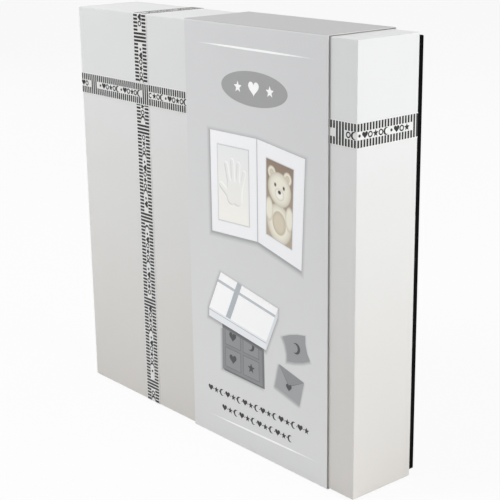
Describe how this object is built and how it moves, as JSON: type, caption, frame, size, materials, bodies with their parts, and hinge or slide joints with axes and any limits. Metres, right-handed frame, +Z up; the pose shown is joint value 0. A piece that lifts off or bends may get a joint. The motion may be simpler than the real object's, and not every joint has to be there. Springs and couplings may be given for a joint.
{
  "type": "baby handprint frame",
  "caption": "Upright white gift box with crossed ribbons and a printed card sleeve, holding a hinged book-style frame for a baby's hand print and photo.",
  "frame": {"origin": "on the floor, under the middle of the standing box", "axes": "+X to the box's right seen from the front, +Y from the lid's front to the tray's back, +Z up"},
  "size_m": [0.2806, 0.0576, 0.2817],
  "materials": {
    "grey_board": "raw grey board",
    "black_paper": "matt black wrapping paper",
    "grey_paper": "matt pale grey lining paper",
    "white_paper": "satin white wrapping paper",
    "ribbon": "woven satin ribbon, white with black pattern",
    "sleeve_card": "smooth printed card",
    "divider_card": "pale grey card",
    "white_wood": "white painted wood",
    "beech": "fine sanded beech",
    "clay": "air-dried clay, matt",
    "hardboard": "brown hardboard",
    "acrylic": "clear acrylic sheet",
    "mat_board": "bevel-cut mat board",
    "photo_print": "glossy photo paper",
    "brass": "lacquered brass",
    "steel": "nickel-plated steel",
    "kraft": "off-white card"
  },
  "bodies": {
    "lid": {"lid_front_panel": "grey_board", "lid_top_wall": "grey_board", "lid_bottom_wall": "grey_board", "lid_left_wall": "grey_board", "lid_right_wall": "grey_board", "lid_wrap": "white_paper", "lid_lining": "white_paper", "ribbon_upright": "ribbon", "ribbon_across": "ribbon"},
    "photo_leaf": {"photo_rail_top": "white_wood", "photo_rail_bottom": "white_wood", "photo_stile_left": "white_wood", "photo_stile_right": "white_wood", "photo_glazing": "acrylic", "photo_mat": "mat_board", "photo_picture": "photo_print", "photo_backing_board": "hardboard", "photo_button_rivets": "steel", "hinge_plates_photo": "brass", "hinge_screws_photo": "brass"},
    "sleeve": {"sleeve": "sleeve_card"},
    "print_button_left": {"print_button_left": "steel"},
    "print_button_right": {"print_button_right": "steel"},
    "photo_button_left": {"photo_button_left": "steel"},
    "photo_button_right": {"photo_button_right": "steel"},
    "base": {"base_back_panel": "grey_board", "base_top_wall": "grey_board", "base_bottom_wall": "grey_board", "base_left_wall": "grey_board", "base_right_wall": "grey_board", "base_wrap": "black_paper", "base_lining": "grey_paper", "divider_long": "divider_card", "divider_cross": "divider_card", "keepsake_envelope": "kraft", "keepsake_pillow_box": "kraft", "rolling_pin": "beech", "print_rail_top": "white_wood", "print_rail_bottom": "white_wood", "print_stile_left": "white_wood", "print_stile_right": "white_wood", "clay_slab": "clay", "clay_card": "mat_board", "print_backing_board": "hardboard", "print_button_rivets": "steel", "hinge_plates_print": "brass", "hinge_pins": "brass", "hinge_screws_print": "brass"}
  },
  "joints": [
    {"name": "lid_lift", "type": "slide", "parent": "base", "child": "lid", "axis": [0, -1, 0], "range_m": [0, 0.36]},
    {"name": "sleeve_slide", "type": "slide", "parent": "lid", "child": "sleeve", "axis": [1, 0, 0], "range_m": [-0.265, 0.165]},
    {"name": "frame_fold", "type": "hinge", "parent": "base", "child": "photo_leaf", "pos_m": [-0.0473, -0.01027, 0.11515], "axis": [0, 0, -1], "range_deg": [0, 120]},
    {"name": "print_button_left_turn", "type": "hinge", "parent": "base", "child": "print_button_left", "pos_m": [-0.036, 0.00413, 0.11515], "axis": [0, 1, 0], "range_deg": [-90, 90]},
    {"name": "print_button_right_turn", "type": "hinge", "parent": "base", "child": "print_button_right", "pos_m": [0.106, 0.00413, 0.11515], "axis": [0, 1, 0], "range_deg": [-90, 90]},
    {"name": "photo_button_left_turn", "type": "hinge", "parent": "photo_leaf", "child": "photo_button_left", "pos_m": [-0.036, -0.02268, 0.11515], "axis": [0, 1, 0], "range_deg": [-90, 90]},
    {"name": "photo_button_right_turn", "type": "hinge", "parent": "photo_leaf", "child": "photo_button_right", "pos_m": [0.106, -0.02268, 0.11515], "axis": [0, 1, 0], "range_deg": [-90, 90]}
  ],
  "couplings": [
    {"joint": "frame_fold", "follows": "lid_lift", "rad_per_m": 5.8}
  ]
}
